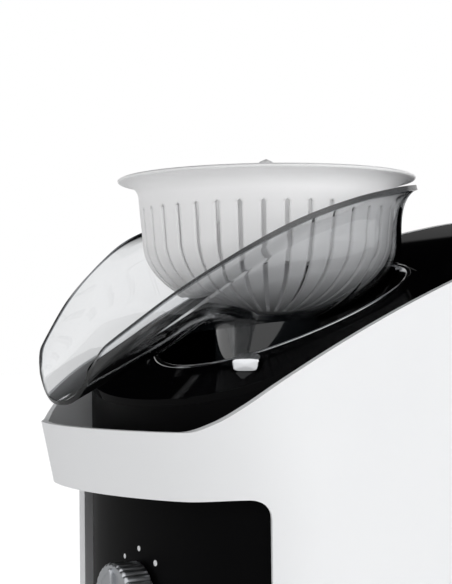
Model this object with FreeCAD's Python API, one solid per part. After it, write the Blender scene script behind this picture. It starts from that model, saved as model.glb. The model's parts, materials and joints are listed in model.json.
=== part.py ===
import FreeCAD, Part
import os
from math import cos, pi, radians, sin, sqrt

V = FreeCAD.Vector

# Overall sizes in millimetres. Z is up from the table, -Y is the pouring side.
# While a piece is being made, the drive axis is the Z axis; save() moves it into place.
body_width = 190.0
hoop_reach = 108.2
back_reach = 240.0
beak_reach = 117.5
shell_wall = 3.6
shell_bottom = 5.0

# Front hoop of the shell
hoop_drop = 50.3
hoop_height = 30.5
hoop_lean = 6.7
hoop_bow = 176.0
hoop_round = 61.0
hoop_leg_front = 61.0
hoop_corner = 8.0

# Crowned top line, an arc along the body
crown_radius = 894.0
crown_height = 189.5
crown_slope = 23.5
edge_drop = 0.4
rear_start = 190.0

# Sweep of the shell's edge from the hoop to the crown: place along the body and rise over the hoop
sweep_line = ((-92.0, 0.0), (-83.0, 4.1), (-73.0, 11.3), (-61.0, 19.9))
sweep_end = -45.0

# Deck, well and trim
deck_drop = 0.8
deck_wall = 3.0
deck_gap = 0.3
nose_start = 40.0
nose_length = 36.0
well_half_width = 66.5
well_half_length = 60.8
well_centre = 7.8
well_wall = 2.5
well_depth = 37.5
well_floor_thickness = 3.0
trim_width = 2.4
trim_height = 0.6
ledge_width = 4.0
catch_angle = 43.0
catch_width = 15.0
catch_thickness = 3.5
catch_height = 6.5
pocket_length = 24.0
pocket_gap = 0.8

# Base
plate_thickness = 3.5
foot_radius = 9.0
foot_stem = 3.0
foot_inset = 25.5
foot_taper = 1.0
foot_front = -34.0
foot_back = 186.0
boss_radius = 5.0
boss_height = 34.0
boss_inset = 11.5
boss_front = -30.0
boss_back = 165.0
vent_count = 7
vent_length = 60.0
vent_width = 4.5
vent_pitch = 10.0

# Fits
running_fit = 0.05
seat_gap = 0.3
fixed_gap = 0.05
drive_gap = 0.3

# Motor and drive shaft
shaft_radius = 5.0
stator_radius = 42.0
stator_bore = 24.8
stator_rise = 26.0
stator_room = 56.0
rotor_radius = 24.0
rotor_overhang = 1.0
coil_height = 9.0
coil_wall = 11.0
coil_gap = 1.0
plate_radius = 50.0
motor_plate = 5.0
motor_bottom = 32.0
motor_drop = 24.0
bearing_radius = 13.0
bearing_width = 8.0
bearing_lip = 2.0
tie_radius = 3.0
tie_circle = 46.0
fan_radius = 38.0
fan_drop = 19.0
fan_height = 9.0
fan_hub = 9.0
fan_blades = 9
fan_disc = 1.5
fan_blade = 1.6
mount_radius = 7.0
mount_height = 6.0
mount_angle = 45.0
seal_radius = 12.0
seal_height = 5.0
collar_radius = 16.0
collar_height = 8.0
dog_across = 12.0
dog_rise = 9.0
dog_height = 12.0

# Screws
screw_radius = 1.6
screw_head_radius = 3.4
screw_head = 2.2
screw_length = 22.0

# Control knob on the front panel
knob_radius = 17.0
knob_length = 14.0
knob_height = 58.0
knob_gap = 1.0
knob_shaft = 3.0
knob_edge = 1.5
grip_width = 2.4
grip_height = 2.0
switch_size = 24.0
switch_depth = 14.0
switch_gap = 0.4

# Control board and cord gland
board_width = 90.0
board_length = 84.0
board_thickness = 1.6
board_front = 84.0
post_height = 12.0
post_radius = 4.0
capacitor_radius = 6.0
capacitor_height = 22.0
transformer_width = 28.0
transformer_height = 24.0
sink_length = 20.0
sink_thickness = 6.0
sink_height = 30.0
relay_length = 19.0
relay_width = 15.0
gland_height = 30.0
gland_radius = 8.0
gland_flange = 11.0
gland_bore = 3.8
gland_lip = 2.5

# Juice bowl
bowl_radius = 67.5
belly_rise = 36.5
bowl_depth = 41.4
bowl_wall = 2.2
bowl_flare = 8.0
rim_rise = 31.0
foot_ring_radius = 26.7
foot_ring_wall = 2.4
sleeve_radius = 9.0
sleeve_drop = 12.0
bush_wall = 1.6
bush_flange = 1.2

# Trough of the bowl: place along the spout, half width, then rim and floor measured from the belly
trough_sections = (
    (8.0, 73.0, 20.0, -34.0),
    (-24.0, 79.5, 11.5, -41.0),
    (-52.0, 72.5, -1.4, -45.0),
    (-84.0, 54.5, -22.5, -59.0),
    (-beak_reach, 29.0, -52.0, -76.2),
)
rim_line = ((-beak_reach - 4.0, -54.0), (-84.0, -22.5), (-37.0, 6.3), (8.5, 20.6), (76.0, rim_rise))

# Strainer basket
flange_radius = 75.0
flange_rise = 3.7
flange_drop = 5.0
flange_thickness = 2.6
strainer_neck = 65.0
strainer_radius = 62.6
strainer_lift = 2.0
strainer_depth = 37.0
strainer_wall = 1.8
slot_count = 36
slot_width = 2.4
slot_drop = 16.7
slot_inner_radius = 22.0
tube_wall = 1.8
tube_gap = 0.4

# Reamer cone and its shaft
cone_radius = 37.0
tip_rise = 9.3
cone_wall = 2.4
cone_ribs = 10
rib_depth = 4.0
rib_width = 3.2
socket_radius = 11.0
socket_height = 16.0
hex_across = 8.0
hex_height = 17.0
cone_boss = 7.5

half_width = body_width / 2
foot_x = half_width - foot_inset
boss_x = half_width - boss_inset
hoop_top = crown_height - hoop_drop
well_floor = crown_height - well_depth
motor_top = well_floor - motor_drop
stator_bottom = motor_bottom + stator_rise
stator_height = motor_top - motor_bottom - stator_room
fan_bottom = motor_top - fan_drop
dog_bottom = well_floor + dog_rise
bowl_belly = crown_height + belly_rise
bowl_back_rim = bowl_belly + rim_rise
sleeve_top = bowl_belly - sleeve_drop
flange_top = bowl_back_rim + flange_rise
strainer_belly = bowl_belly + strainer_lift
slot_top = flange_top - slot_drop
cone_tip = flange_top + tip_rise
crown_y = crown_radius * sin(radians(crown_slope))
crown_z = crown_height - crown_radius * cos(radians(crown_slope))
hoop_bottom = hoop_top - hoop_height
plate_top = shell_bottom + plate_thickness
inner_half_width = half_width - shell_wall
deck_half_width = inner_half_width - deck_gap
axis_y = (beak_reach - back_reach) / 2
cone_bottom = sleeve_top + 2 * seat_gap + tube_wall

# Cutting shapes run up to this height, or this far past what they cut
clear_top = cone_tip
overcut = 10.0


def save(name, shape):
    """Move a finished piece from the drive axis into the part's frame and write it."""
    placed = shape.copy()
    placed.translate(V(0, axis_y, 0))
    placed.exportStep("parts/" + name + ".step")


def cylinder(radius, bottom, top, x=0.0, y=0.0):
    return Part.makeCylinder(radius, top - bottom, V(x, y, bottom))


def tube(outer, inner, bottom, top, x=0.0, y=0.0):
    return cylinder(outer, bottom, top, x, y).cut(cylinder(inner, bottom, top, x, y))


def block(x0, x1, y0, y1, z0, z1):
    return Part.makeBox(x1 - x0, y1 - y0, z1 - z0, V(x0, y0, z0))


def hexagon(across, bottom, top):
    """Hexagonal prism on the drive axis, given its size across the flats."""
    corner = across / 2 / cos(pi / 6)
    points = [V(corner * cos(k * pi / 3), corner * sin(k * pi / 3), bottom) for k in range(7)]
    return Part.Face(Part.makePolygon(points)).extrude(V(0, 0, top - bottom))


def around(shape, count, start=0.0):
    """Copies of a shape spread evenly round the drive axis."""
    turned = []
    for k in range(count):
        turned.append(shape.rotated(V(0, 0, 0), V(0, 0, 1), start + 360.0 * k / count))
    return turned


def group(shapes):
    return Part.Compound(shapes)


def turn(points):
    """Solid of revolution about the drive axis from (radius, height) points."""
    line = [V(r, 0, z) for r, z in points]
    line.append(line[0])
    return Part.Face(Part.makePolygon(line)).revolve(V(0, 0, 0), V(0, 0, 1), 360)


def half_ellipse(half, length, y, z, start):
    """Half an ellipse in plan, from one side wall to the other."""
    ellipse = Part.Ellipse(V(0, y, z), half, length)
    return Part.ArcOfEllipse(ellipse, start, start + pi).toShape()


def plan_wire(half, front_y, front_length, back_y, back_length, z):
    """Closed plan outline: rounded front, straight sides, rounded back."""
    front = half_ellipse(half, front_length, front_y, z, pi)
    back = half_ellipse(half, back_length, back_y, z, 0.0)
    right = Part.makeLine(V(half, front_y, z), V(half, back_y, z))
    left = Part.makeLine(V(-half, back_y, z), V(-half, front_y, z))
    return Part.Wire([front, right, back, left])


def plan_solid(half, front_y, front_length, back_y, back_length, bottom, top):
    wire = plan_wire(half, front_y, front_length, back_y, back_length, bottom)
    return Part.Face(wire).extrude(V(0, 0, top - bottom))


def crown(y, drop=0.0):
    """Height of the crowned top line at a place along the body."""
    return crown_z + sqrt((crown_radius - drop) ** 2 - (y - crown_y) ** 2)


def crown_arc(y0, y1, drop=0.0):
    middle = (y0 + y1) / 2
    ends = [V(0, y, crown(y, drop)) for y in (y0, middle, y1)]
    return Part.Arc(*ends).toShape()


def across_body(edges):
    """Solid from a closed outline in the side view, run across the whole width."""
    reach = half_width + hoop_corner
    face = Part.Face(Part.Wire(Part.__sortEdges__(edges)))
    solid = face.extrude(V(2 * reach, 0, 0))
    solid.translate(V(-reach, 0, 0))
    return solid


def crown_layer(drop_top, drop_bottom, y0, y1):
    """Curved sheet that follows the top line between two depths below it."""
    upper = crown_arc(y0, y1, drop_top)
    lower = crown_arc(y0, y1, drop_bottom)
    front = Part.makeLine(V(0, y0, crown(y0, drop_bottom)), V(0, y0, crown(y0, drop_top)))
    back = Part.makeLine(V(0, y1, crown(y1, drop_bottom)), V(0, y1, crown(y1, drop_top)))
    return across_body([upper, back, lower, front])


def above_shell():
    """Everything above the shell's edge: level over the hoop, swept up into the crown."""
    sweep = [V(0, y, hoop_top + rise) for y, rise in sweep_line]
    join = V(0, sweep_end, crown(sweep_end, edge_drop))
    slope = (crown_y - sweep_end) / (crown_radius - edge_drop)
    along_crown = V(0, sqrt(1 - slope ** 2), slope)
    spline = Part.BSplineCurve()
    spline.interpolate(sweep + [join], InitialTangent=V(0, 1, 0), FinalTangent=along_crown)
    start = V(0, -hoop_reach - overcut, hoop_top)
    end = V(0, back_reach + shell_wall, crown(back_reach + shell_wall, edge_drop))
    top = clear_top + overcut
    edges = [
        Part.makeLine(start, sweep[0]),
        spline.toShape(),
        crown_arc(join.y, end.y, edge_drop),
        Part.makeLine(end, V(0, end.y, top)),
        Part.makeLine(V(0, end.y, top), V(0, start.y, top)),
        Part.makeLine(V(0, start.y, top), start),
    ]
    return across_body(edges)


def shell_face(inset, reach, z):
    """Plan of the shell: bowed front, large round corners, straight sides, rounded back."""
    half = half_width - inset
    corner = V(half_width - hoop_round, 0, z)
    bow = V(0, hoop_bow - reach, z)
    between = hoop_bow - hoop_round
    corner.y = bow.y - sqrt(between ** 2 - corner.x ** 2)
    toward = (corner - bow) / between
    bisector = (toward + V(1, 0, 0)).normalize()
    side = V(half, corner.y, z)
    middle = corner + bisector * (hoop_round - inset)
    join = bow + toward * (hoop_bow - inset)
    tip = bow - V(0, hoop_bow - inset, 0)
    back = half_ellipse(half, back_reach - rear_start - inset, rear_start, z, 0.0)
    right = [Part.Arc(side, middle, join).toShape(), Part.makeLine(side, V(half, rear_start, z))]
    left = [edge.mirror(V(0, 0, 0), V(1, 0, 0)) for edge in right]
    front = Part.Arc(join, tip, V(-join.x, join.y, z)).toShape()
    return Part.Face(Part.Wire(Part.__sortEdges__(right + left + [front, back])))


def shell_body(inset):
    """Outer form of the shell, or its hollow when inset by the wall; only the hoop leans."""
    levels = (hoop_bottom, hoop_top + hoop_height)
    reaches = [hoop_reach + (z - hoop_top) * hoop_lean / hoop_height for z in levels]
    faces = [shell_face(inset, reach, z) for reach, z in zip(reaches, levels)]
    leaning = Part.makeLoft([face.OuterWire for face in faces], True, True)
    below = faces[0].extrude(V(0, 0, shell_bottom - levels[0]))
    above = faces[1].extrude(V(0, 0, clear_top - levels[1]))
    return leaning.fuse([below, above]).removeSplitter()


def outer_shell():
    body = shell_body(0.0).cut(shell_body(shell_wall)).cut(above_shell())
    # The front is open below the hoop, with rounded inside corners
    reach = half_width + hoop_corner
    front = -hoop_reach - hoop_corner
    window = block(-reach, reach, front, -hoop_leg_front, 0.0, hoop_bottom)
    corner = [e for e in window.Edges if abs(e.CenterOfMass.y + hoop_leg_front) < 0.01
              and abs(e.CenterOfMass.z - hoop_bottom) < 0.01]
    body = body.cut(window.makeFillet(hoop_corner, corner))
    # Ledge under the deck along each side wall
    ledge_top = deck_drop + deck_wall + fixed_gap
    sheet = crown_layer(ledge_top, ledge_top + deck_wall, -nose_start + ledge_width, rear_start)
    half = inner_half_width + fixed_gap
    for side in (-1, 1):
        xs = sorted((side * half, side * (half - ledge_width)))
        strip = block(xs[0], xs[1], -nose_start + ledge_width, rear_start, shell_bottom, clear_top)
        body = body.fuse(sheet.common(strip))
    # Screw bosses with a rib to the wall
    for x in (-boss_x, boss_x):
        for y in (boss_front, boss_back):
            top = plate_top + boss_height
            xs = sorted((x, x / boss_x * (half_width - shell_wall / 2)))
            boss = cylinder(boss_radius, plate_top, top, x, y)
            rib = block(xs[0], xs[1], y - boss_radius / 2, y + boss_radius / 2, plate_top, top)
            bore = cylinder(screw_radius + fixed_gap, plate_top, plate_top + screw_length, x, y)
            body = body.fuse(boss).fuse(rib).cut(bore)
    # Hole for the cord gland
    start = V(0, back_reach - overcut, gland_height)
    hole = Part.makeCylinder(gland_radius + fixed_gap, 2 * overcut, start, V(0, 1, 0))
    return body.cut(hole).removeSplitter()


def deck_plan(inset, bottom, top):
    half = deck_half_width - inset
    back = back_reach - rear_start - shell_wall - deck_gap - inset
    return plan_solid(half, -nose_start, nose_length - inset, rear_start, back, bottom, top)


def well_solid(grow, bottom, top):
    """Elliptical column of the well, seen round from above the sloping deck."""
    ellipse = Part.Ellipse(V(0, well_centre, bottom), well_half_width + grow, well_half_length + grow)
    return Part.Face(Part.Wire(ellipse.toShape())).extrude(V(0, 0, top - bottom))


def catch_pocket(width, near, far, bottom, top):
    """Block beside the trim ring on the line where the catch stands."""
    shape = block(-width / 2, width / 2, -far, -near, bottom, top)
    return shape.rotated(V(0, 0, 0), V(0, 0, 1), catch_angle).translated(V(0, well_centre, 0))


def catch_reach():
    """Distance from the well's centre to the outside of the trim ring at the catch."""
    a = well_half_width + trim_width
    b = well_half_length + trim_width
    angle = radians(catch_angle)
    return 1 / sqrt((sin(angle) / a) ** 2 + (cos(angle) / b) ** 2)


def catch_floor():
    return crown(well_centre - catch_reach() * cos(radians(catch_angle))) - catch_height


def deck_cover():
    front = -nose_start - nose_length
    sheet = crown_layer(deck_drop, deck_drop + deck_wall, front - deck_gap, back_reach)
    deck = sheet.common(deck_plan(0.0, shell_bottom, clear_top))
    under_deck = crown_layer(deck_drop + deck_wall / 2, crown_height, front - deck_gap, back_reach)
    well = well_solid(well_wall, well_floor - well_floor_thickness, clear_top).common(under_deck)
    deck = deck.fuse(well).cut(well_solid(0.0, well_floor, clear_top))
    # Raised collar round the shaft, which holds the seal
    deck = deck.fuse(cylinder(collar_radius, well_floor - well_floor_thickness, well_floor + collar_height))
    deck = deck.cut(cylinder(shaft_radius + seat_gap * 3, 0.0, clear_top))
    deck = deck.cut(cylinder(seal_radius + fixed_gap, well_floor + collar_height - seal_height, clear_top))
    # Stepped pocket for the catch
    floor = catch_floor()
    near = catch_reach() - trim_width
    far = near + pocket_length
    width = catch_width + 2 * pocket_gap
    step = catch_pocket(width + 2 * deck_wall, near - well_wall, far, floor - deck_wall, clear_top)
    step = step.common(under_deck)
    deck = deck.fuse(step.cut(well_solid(0.0, 0.0, clear_top)))
    deck = deck.cut(catch_pocket(width, near + trim_width, far + trim_width, floor, clear_top))
    # Pillars under the floor that carry the motor
    for x, y in mount_places():
        pillar = cylinder(mount_radius, motor_top + mount_height, well_floor - well_floor_thickness / 2, x, y)
        deck = deck.fuse(pillar).cut(screw_bore(x, y))
    return deck.removeSplitter()


def mount_places():
    places = []
    for k in range(4):
        angle = radians(mount_angle + 90 * k)
        places.append((tie_circle * cos(angle), tie_circle * sin(angle)))
    return places


def screw_bore(x, y):
    return cylinder(screw_radius + fixed_gap, 0.0, motor_top - motor_plate + screw_length, x, y)


def trim_ring():
    sheet = crown_layer(deck_drop - trim_height, deck_drop - fixed_gap, -nose_start - nose_length, back_reach)
    column = well_solid(trim_width, 0.0, clear_top).cut(well_solid(0.0, 0.0, clear_top))
    return sheet.common(column)


def bowl_catch():
    reach = catch_reach() + pocket_gap
    floor = catch_floor()
    top = floor + catch_height + trim_height
    catch = catch_pocket(catch_width, reach, reach + catch_thickness, floor + fixed_gap, top)
    edges = [e for e in catch.Edges if abs(e.tangentAt(e.FirstParameter).z) > 0.9]
    return catch.makeFillet(catch_thickness / 3, edges)


def front_panel():
    outer = deck_plan(0.0, plate_top + fixed_gap, clear_top)
    inner = deck_plan(deck_wall, plate_top + fixed_gap, clear_top)
    half = half_width
    front = block(-half, half, -hoop_reach, -nose_start, plate_top + fixed_gap, clear_top)
    below = crown_layer(deck_drop + deck_wall + fixed_gap, crown_height, -hoop_reach, back_reach)
    panel = outer.cut(inner).common(front).common(below)
    hole = Part.makeCylinder(knob_shaft + running_fit, hoop_reach, V(0, -hoop_reach, knob_height), V(0, 1, 0))
    return panel.cut(hole)


def base_plate():
    plate = deck_plan(0.0, shell_bottom, plate_top)
    for x in (-boss_x, boss_x):
        for y in (boss_front, boss_back):
            plate = plate.cut(cylinder(screw_radius + fixed_gap, 0.0, plate_top, x, y))
            plate = plate.cut(cylinder(screw_head_radius + fixed_gap, 0.0, shell_bottom + screw_head, x, y))
    for x in (-foot_x, foot_x):
        for y in (foot_front, foot_back):
            plate = plate.cut(cylinder(foot_stem + fixed_gap, 0.0, plate_top, x, y))
    for k in range(vent_count):
        y = (k - (vent_count - 1) / 2) * vent_pitch
        plate = plate.cut(block(-vent_length / 2, vent_length / 2, y - vent_width / 2, y + vent_width / 2,
                                0.0, plate_top))
    for x, y in board_posts():
        post = cylinder(post_radius, shell_bottom, plate_top + post_height, x, y)
        bore = cylinder(screw_radius + fixed_gap, plate_top, plate_top + post_height, x, y)
        plate = plate.fuse(post).cut(bore)
    return plate


def board_posts():
    inset = 2 * post_radius
    xs = (-board_width / 2 + inset, board_width / 2 - inset)
    ys = (board_front + inset, board_front + board_length - inset)
    return [(x, y) for x in xs for y in ys]


def rubber_feet():
    feet = []
    for x in (-foot_x, foot_x):
        for y in (foot_front, foot_back):
            pad = Part.makeCone(foot_radius - foot_taper, foot_radius, shell_bottom - fixed_gap, V(x, y, 0))
            stem = cylinder(foot_stem, 0.0, plate_top, x, y)
            feet.append(pad.fuse(stem))
    return group(feet)


def screw(x, y, head_bottom):
    """Pan-head screw that points up."""
    head = cylinder(screw_head_radius, head_bottom, head_bottom + screw_head, x, y)
    return head.fuse(cylinder(screw_radius, head_bottom, head_bottom + screw_length, x, y))


def base_screws():
    places = [(x, y) for x in (-boss_x, boss_x) for y in (boss_front, boss_back)]
    return group([screw(x, y, shell_bottom - fixed_gap) for x, y in places])


def motor_screws():
    head = motor_top - motor_plate - screw_head - fixed_gap
    return group([screw(x, y, head) for x, y in mount_places()])


def motor_mounts():
    mounts = []
    for x, y in mount_places():
        bottom = motor_top + fixed_gap
        top = motor_top + mount_height - fixed_gap
        mounts.append(tube(mount_radius, screw_radius + fixed_gap, bottom, top, x, y))
    return group(mounts)


def bearing_seat(bottom):
    return cylinder(bearing_radius + fixed_gap, bottom, bottom + bearing_width)


def tie_places():
    places = []
    for k in range(4):
        angle = radians(mount_angle + 45 + 90 * k)
        places.append((tie_circle * cos(angle), tie_circle * sin(angle)))
    return places


def motor_top_plate():
    bottom = motor_top - motor_plate
    plate = cylinder(plate_radius, bottom, motor_top)
    plate = plate.fuse(cylinder(bearing_radius + bearing_lip, bottom, bottom + bearing_width + bearing_lip))
    plate = plate.cut(bearing_seat(bottom)).cut(cylinder(shaft_radius + bearing_lip, 0.0, clear_top))
    for x, y in mount_places():
        plate = plate.cut(screw_bore(x, y))
    for x, y in tie_places():
        plate = plate.cut(cylinder(tie_radius + fixed_gap, 0.0, clear_top, x, y))
    return plate


def motor_bottom_plate():
    top = motor_bottom + motor_plate
    plate = cylinder(plate_radius, motor_bottom, top)
    plate = plate.fuse(cylinder(bearing_radius + bearing_lip, top - bearing_width - bearing_lip, top))
    plate = plate.cut(bearing_seat(top - bearing_width)).cut(cylinder(shaft_radius + bearing_lip, 0.0, top))
    for x, y in tie_places():
        plate = plate.cut(cylinder(tie_radius + fixed_gap, 0.0, clear_top, x, y))
    return plate


def tie_rods():
    rods = []
    for x, y in tie_places():
        rods.append(cylinder(tie_radius, motor_bottom, motor_top, x, y))
    return group(rods)


def bearing(bottom):
    return tube(bearing_radius, shaft_radius + running_fit, bottom, bottom + bearing_width)


def stator_core():
    core = tube(stator_radius, stator_bore, stator_bottom, stator_bottom + stator_height)
    ears = []
    for x, y in tie_places():
        ears.append(cylinder(tie_radius * 2, stator_bottom, stator_bottom + stator_height, x, y))
    core = core.fuse(ears).cut(cylinder(stator_bore, 0.0, clear_top))
    for x, y in tie_places():
        core = core.cut(cylinder(tie_radius + fixed_gap, 0.0, clear_top, x, y))
    return core


def stator_coils():
    inner = stator_bore + coil_gap
    outer = inner + coil_wall
    lower = tube(outer, inner, stator_bottom - fixed_gap - coil_height, stator_bottom - fixed_gap)
    top = stator_bottom + stator_height + fixed_gap
    return group([lower, tube(outer, inner, top, top + coil_height)])


def drive_shaft():
    bottom = motor_bottom - bearing_width + motor_plate
    return cylinder(shaft_radius, bottom, dog_bottom + dog_height / 2)


def motor_rotor():
    bottom = stator_bottom - rotor_overhang
    top = stator_bottom + stator_height + rotor_overhang
    return tube(rotor_radius, shaft_radius + fixed_gap / 2, bottom, top)


def cooling_fan():
    hub = tube(fan_hub, shaft_radius + fixed_gap / 2, fan_bottom, fan_bottom + fan_height)
    disc = tube(fan_radius, fan_hub, fan_bottom, fan_bottom + fan_disc)
    half = fan_blade / 2
    blade = block(fan_hub - half, fan_radius, -half, half, fan_bottom, fan_bottom + fan_height)
    return hub.fuse([disc] + around(blade, fan_blades))


def drive_coupling():
    """Hexagonal dog on the motor shaft."""
    dog = hexagon(dog_across, dog_bottom, dog_bottom + dog_height)
    return dog.cut(cylinder(shaft_radius + fixed_gap / 2, 0.0, dog_bottom + dog_height / 2 + fixed_gap))


def shaft_seal():
    top = well_floor + collar_height
    return tube(seal_radius, shaft_radius + running_fit, top - seal_height + fixed_gap, top)


def knob_front():
    return -nose_start - nose_length - knob_gap


def control_knob():
    back = knob_front()
    front = back - knob_length
    body = Part.makeCylinder(knob_radius, knob_length, V(0, front, knob_height), V(0, 1, 0))
    rim = [e for e in body.Edges if abs(e.CenterOfMass.y - front) < 0.01]
    body = body.makeFillet(knob_edge, rim)
    stem_end = -nose_start - nose_length + deck_wall + switch_depth / 2
    stem = Part.makeCylinder(knob_shaft, stem_end - back, V(0, back, knob_height), V(0, 1, 0))
    grip = block(-grip_width / 2, grip_width / 2, front - grip_height, front + grip_height,
                 knob_height, knob_height + knob_radius - grip_height)
    return body.fuse(stem).fuse(grip)


def selector_switch():
    front = -nose_start - nose_length + deck_wall + switch_gap
    half = switch_size / 2
    box = block(-half, half, front, front + switch_depth, knob_height - half, knob_height + half)
    panel_back = deck_plan(deck_wall + fixed_gap, 0.0, clear_top)
    start = V(0, front - switch_gap, knob_height)
    bore = Part.makeCylinder(knob_shaft + running_fit, switch_depth, start, V(0, 1, 0))
    return box.common(panel_back).cut(bore)


def control_board():
    bottom = plate_top + post_height + fixed_gap
    half = board_width / 2
    board = block(-half, half, board_front, board_front + board_length, bottom, bottom + board_thickness)
    for x, y in board_posts():
        board = board.cut(cylinder(screw_radius + fixed_gap, 0.0, clear_top, x, y))
    return board


def board_components():
    """Capacitors, transformer, heat sink and relay that stand on the board."""
    bottom = plate_top + post_height + board_thickness + 2 * fixed_gap
    middle = board_front + board_length / 2
    side = board_width / 4
    front_row = middle - board_length / 6
    back_row = middle + board_length / 5

    def boxed(x, y, length, width, height):
        return block(x - length / 2, x + length / 2, y - width / 2, y + width / 2, bottom, bottom + height)

    parts = [
        boxed(side, front_row, transformer_width, transformer_width, transformer_height),
        boxed(-side, front_row, sink_length, sink_thickness, sink_height),
        boxed(side, back_row, relay_length, relay_width, relay_width),
    ]
    for place in (-1.25, 1.25):
        x = -side + place * capacitor_radius
        parts.append(cylinder(capacitor_radius, bottom, bottom + capacitor_height, x, back_row))
    return group(parts)


def board_screws():
    top = plate_top + post_height + board_thickness + 2 * fixed_gap
    screws = []
    for x, y in board_posts():
        head = cylinder(screw_head_radius, top, top + screw_head, x, y)
        screws.append(head.fuse(cylinder(screw_radius, top - post_height, top, x, y)))
    return group(screws)


def cord_gland():
    along = V(0, 1, 0)
    outside = back_reach
    inside = back_reach - shell_wall - gland_lip - fixed_gap * 2
    body = Part.makeCylinder(gland_radius, outside - inside, V(0, inside, gland_height), along)
    lip = Part.makeCylinder(gland_flange, gland_lip, V(0, inside, gland_height), along)
    bore = Part.makeCylinder(gland_bore, outside - inside, V(0, inside, gland_height), along)
    hollow = shell_body(shell_wall + fixed_gap)
    return lip.common(hollow).fuse(body).cut(bore)


def bowl_round(inset):
    """The round part of the bowl, as a filled solid."""
    radius = bowl_radius - inset
    depth = bowl_depth - inset
    ellipse = Part.Ellipse(V(0, 0, bowl_belly), radius, depth)
    curve = Part.ArcOfEllipse(ellipse, 3 * pi / 2, 2 * pi).toShape()
    curve.rotate(V(0, 0, bowl_belly), V(1, 0, 0), 90)
    rim = V(radius + bowl_flare, 0, bowl_back_rim)
    top = clear_top + bowl_flare
    ends = [V(0, 0, bowl_belly - depth), V(radius, 0, bowl_belly)]
    edges = [
        curve,
        Part.makeLine(ends[1], rim),
        Part.makeLine(rim, V(rim.x, 0, top)),
        Part.makeLine(V(rim.x, 0, top), V(0, 0, top)),
        Part.makeLine(V(0, 0, top), ends[0]),
    ]
    face = Part.Face(Part.Wire(Part.__sortEdges__(edges)))
    return face.revolve(V(0, 0, 0), V(0, 0, 1), 360)


def trough(inset, past=0.0):
    """The pouring trough as a filled solid, lofted through sections with rounded floors."""
    wires = []
    last = len(trough_sections) - 1
    for k, (y, half, rise, low) in enumerate(trough_sections):
        place = y - past if k == last else y
        width = half - inset
        rim = bowl_belly + rise
        depth = rise - low - inset
        ellipse = Part.Ellipse(V(0, place, 0), width, depth)
        curve = Part.ArcOfEllipse(ellipse, pi, 2 * pi).toShape()
        curve.rotate(V(0, place, 0), V(1, 0, 0), 90)
        curve.translate(V(0, 0, rim))
        top = rim + 3 * bowl_flare
        sides = [Part.makeLine(V(x, place, rim), V(x, place, top)) for x in (width, -width)]
        lid = Part.makeLine(V(width, place, top), V(-width, place, top))
        wires.append(Part.Wire(Part.__sortEdges__([curve, lid] + sides)))
    return Part.makeLoft(wires, True, False)


def above_rim():
    """Everything above the sloping rim line of the bowl."""
    points = [V(0, y, bowl_belly + z) for y, z in rim_line]
    spline = Part.BSplineCurve()
    spline.interpolate(points)
    top = clear_top + 4 * bowl_flare
    back = V(0, bowl_radius + 2 * bowl_flare, bowl_back_rim)
    edges = [
        spline.toShape(),
        Part.makeLine(points[-1], back),
        Part.makeLine(back, V(0, back.y, top)),
        Part.makeLine(V(0, back.y, top), V(0, points[0].y, top)),
        Part.makeLine(V(0, points[0].y, top), points[0]),
    ]
    return across_body(edges)


def juice_bowl():
    outside = bowl_round(0.0).fuse(trough(0.0))
    inside = bowl_round(bowl_wall).fuse(trough(bowl_wall, bowl_wall))
    foot = cylinder(foot_ring_radius, well_floor + seat_gap, bowl_belly - bowl_depth / 2)
    foot = foot.cut(cylinder(foot_ring_radius - foot_ring_wall, 0.0, bowl_belly - bowl_depth))
    body = outside.fuse(foot)
    sleeve = cylinder(sleeve_radius, bowl_belly - bowl_depth, sleeve_top)
    bore = cylinder(shaft_radius + running_fit + bush_wall + fixed_gap, 0.0, clear_top)
    body = body.cut(inside).fuse(sleeve).cut(bore).cut(above_rim())
    cavity = cylinder(foot_ring_radius - foot_ring_wall, 0.0, bowl_belly - bowl_depth)
    return body.cut(cavity).removeSplitter()


def shaft_bush():
    """Flanged bush in the bowl's sleeve, in which the reamer's shaft turns."""
    bottom = bowl_belly - bowl_depth
    outer = shaft_radius + running_fit + bush_wall
    body = cylinder(outer, bottom - bush_flange - fixed_gap, sleeve_top)
    flange = cylinder(sleeve_radius, bottom - bush_flange - fixed_gap, bottom - fixed_gap)
    return body.fuse(flange).cut(cylinder(shaft_radius + running_fit, 0.0, clear_top))


def cone_shaft():
    """Reamer shaft: hexagonal socket for the motor's dog below, hexagon for the cone above."""
    socket_bottom = dog_bottom + seat_gap
    top = cone_bottom + hex_height
    socket = cylinder(socket_radius, socket_bottom, socket_bottom + socket_height)
    hollow = hexagon(dog_across + 2 * drive_gap, 0.0, dog_bottom + dog_height + drive_gap)
    shoulder = cone_bottom - seat_gap
    shaft = cylinder(shaft_radius, socket_bottom + socket_height, shoulder)
    return socket.cut(hollow).fuse(shaft).fuse(hexagon(hex_across, shoulder, top))


def strainer_form(inset):
    """Filled form of the basket: rounded bottom, nearly upright wall, flared neck."""
    radius = strainer_radius - inset
    depth = strainer_depth - inset
    ellipse = Part.Ellipse(V(0, 0, strainer_belly), radius, depth)
    curve = Part.ArcOfEllipse(ellipse, 3 * pi / 2, 2 * pi).toShape()
    curve.rotate(V(0, 0, strainer_belly), V(1, 0, 0), 90)
    neck = V(strainer_neck - inset, 0, flange_top - flange_drop)
    edges = [
        curve,
        Part.makeLine(V(radius, 0, strainer_belly), neck),
        Part.makeLine(neck, V(neck.x, 0, clear_top)),
        Part.makeLine(V(neck.x, 0, clear_top), V(0, 0, clear_top)),
        Part.makeLine(V(0, 0, clear_top), V(0, 0, strainer_belly - depth)),
    ]
    face = Part.Face(Part.Wire(Part.__sortEdges__(edges)))
    return face.revolve(V(0, 0, 0), V(0, 0, 1), 360)


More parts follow.
